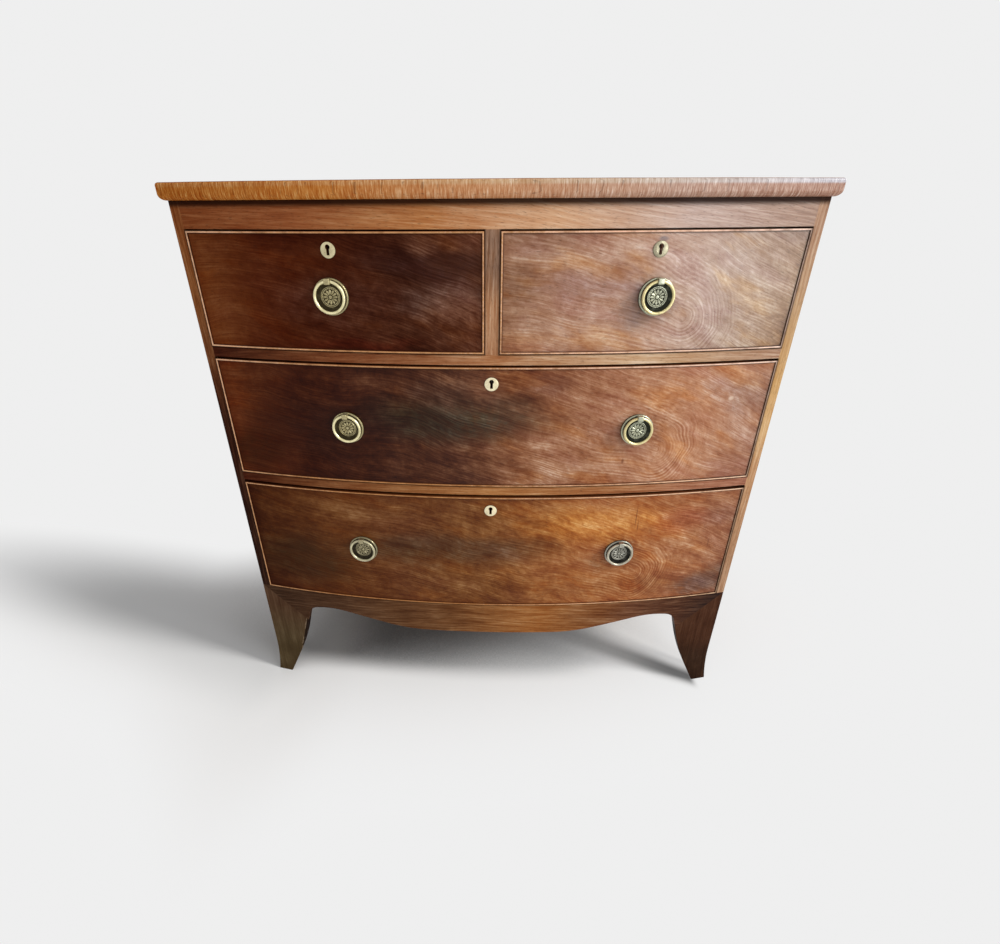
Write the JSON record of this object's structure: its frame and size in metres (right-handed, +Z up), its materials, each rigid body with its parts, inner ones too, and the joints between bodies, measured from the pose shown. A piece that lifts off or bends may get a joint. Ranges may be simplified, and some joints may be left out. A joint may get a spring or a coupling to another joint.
{
  "type": "chest of drawers",
  "caption": "Bow-fronted mahogany chest with short and long cock-beaded drawers, brass ring pulls, round escutcheons, a shaped apron and splayed bracket feet.",
  "frame": {"origin": "on the floor, under the centre of the whole chest's bounding box", "axes": "+Z up, the bowed drawer front faces -Y, +X to the right when facing it"},
  "size_m": [0.917, 0.51, 0.9265],
  "materials": {
    "mahogany": "old french polish",
    "oak": "unpolished drawer lining",
    "pine": "unpolished, aged",
    "brass": "worn lacquered brass with grey tarnish in the hollows",
    "steel": "dull iron"
  },
  "bodies": {
    "carcase": {"top_board": "mahogany", "carcase_sides": "mahogany", "back_boards": "pine", "frieze_rail": "mahogany", "drawer_rails": "mahogany", "centre_muntin": "mahogany", "centre_partition": "pine", "runners": "pine", "dustboards": "pine", "bottom_board": "pine", "drawer_stops": "oak", "aprons": "mahogany", "feet_front": "mahogany", "feet_back": "mahogany"},
    "upper_left_drawer": {"upper_left_front": "mahogany", "upper_left_cock_beads": "mahogany", "upper_left_sides": "oak", "upper_left_back": "oak", "upper_left_bottom": "oak", "upper_left_lock": "steel", "upper_left_escutcheon": "brass", "upper_left_pull_plates": "brass", "upper_left_pull_fixings": "steel"},
    "upper_left_bolt": {"upper_left_lock_bolt": "steel"},
    "upper_right_drawer": {"upper_right_front": "mahogany", "upper_right_cock_beads": "mahogany", "upper_right_sides": "oak", "upper_right_back": "oak", "upper_right_bottom": "oak", "upper_right_lock": "steel", "upper_right_escutcheon": "brass", "upper_right_pull_plates": "brass", "upper_right_pull_fixings": "steel"},
    "upper_right_bolt": {"upper_right_lock_bolt": "steel"},
    "middle_drawer": {"middle_front": "mahogany", "middle_cock_beads": "mahogany", "middle_sides": "oak", "middle_back": "oak", "middle_bottom": "oak", "middle_lock": "steel", "middle_escutcheon": "brass", "middle_pull_plates": "brass", "middle_pull_fixings": "steel"},
    "middle_bolt": {"middle_lock_bolt": "steel"},
    "lower_drawer": {"lower_front": "mahogany", "lower_cock_beads": "mahogany", "lower_sides": "oak", "lower_back": "oak", "lower_bottom": "oak", "lower_lock": "steel", "lower_escutcheon": "brass", "lower_pull_plates": "brass", "lower_pull_fixings": "steel"},
    "lower_bolt": {"lower_lock_bolt": "steel"},
    "upper_left_ring_pull": {"upper_left_ring": "brass"},
    "upper_right_ring_pull": {"upper_right_ring": "brass"},
    "middle_left_ring_pull": {"middle_left_ring": "brass"},
    "middle_right_ring_pull": {"middle_right_ring": "brass"},
    "lower_left_ring_pull": {"lower_left_ring": "brass"},
    "lower_right_ring_pull": {"lower_right_ring": "brass"}
  },
  "joints": [
    {"name": "upper_left_drawer_slide", "type": "slide", "parent": "carcase", "child": "upper_left_drawer", "axis": [0, -1, 0], "range_m": [0, 0.35]},
    {"name": "upper_left_bolt_slide", "type": "slide", "parent": "upper_left_drawer", "child": "upper_left_bolt", "axis": [0, 0, 1], "range_m": [0, 0.009]},
    {"name": "upper_right_drawer_slide", "type": "slide", "parent": "carcase", "child": "upper_right_drawer", "axis": [0, -1, 0], "range_m": [0, 0.35]},
    {"name": "upper_right_bolt_slide", "type": "slide", "parent": "upper_right_drawer", "child": "upper_right_bolt", "axis": [0, 0, 1], "range_m": [0, 0.009]},
    {"name": "middle_drawer_slide", "type": "slide", "parent": "carcase", "child": "middle_drawer", "axis": [0, -1, 0], "range_m": [0, 0.35]},
    {"name": "middle_bolt_slide", "type": "slide", "parent": "middle_drawer", "child": "middle_bolt", "axis": [0, 0, 1], "range_m": [0, 0.009]},
    {"name": "lower_drawer_slide", "type": "slide", "parent": "carcase", "child": "lower_drawer", "axis": [0, -1, 0], "range_m": [0, 0.35]},
    {"name": "lower_bolt_slide", "type": "slide", "parent": "lower_drawer", "child": "lower_bolt", "axis": [0, 0, 1], "range_m": [0, 0.009]},
    {"name": "upper_left_ring_swing", "type": "hinge", "parent": "upper_left_drawer", "child": "upper_left_ring_pull", "pos_m": [-0.22836, -0.24119, 0.8034], "axis": [-0.9942, 0.1075, 0], "range_deg": [0, 100]},
    {"name": "upper_right_ring_swing", "type": "hinge", "parent": "upper_right_drawer", "child": "upper_right_ring_pull", "pos_m": [0.22836, -0.24119, 0.8034], "axis": [-0.9942, -0.1075, 0], "range_deg": [0, 100]},
    {"name": "middle_left_ring_swing", "type": "hinge", "parent": "middle_drawer", "child": "middle_left_ring_pull", "pos_m": [-0.22836, -0.24119, 0.6034], "axis": [-0.9942, 0.1075, 0], "range_deg": [0, 100]},
    {"name": "middle_right_ring_swing", "type": "hinge", "parent": "middle_drawer", "child": "middle_right_ring_pull", "pos_m": [0.22836, -0.24119, 0.6034], "axis": [-0.9942, -0.1075, 0], "range_deg": [0, 100]},
    {"name": "lower_left_ring_swing", "type": "hinge", "parent": "lower_drawer", "child": "lower_left_ring_pull", "pos_m": [-0.22836, -0.24119, 0.3674], "axis": [-0.9942, 0.1075, 0], "range_deg": [0, 100]},
    {"name": "lower_right_ring_swing", "type": "hinge", "parent": "lower_drawer", "child": "lower_right_ring_pull", "pos_m": [0.22836, -0.24119, 0.3674], "axis": [-0.9942, -0.1075, 0], "range_deg": [0, 100]}
  ]
}
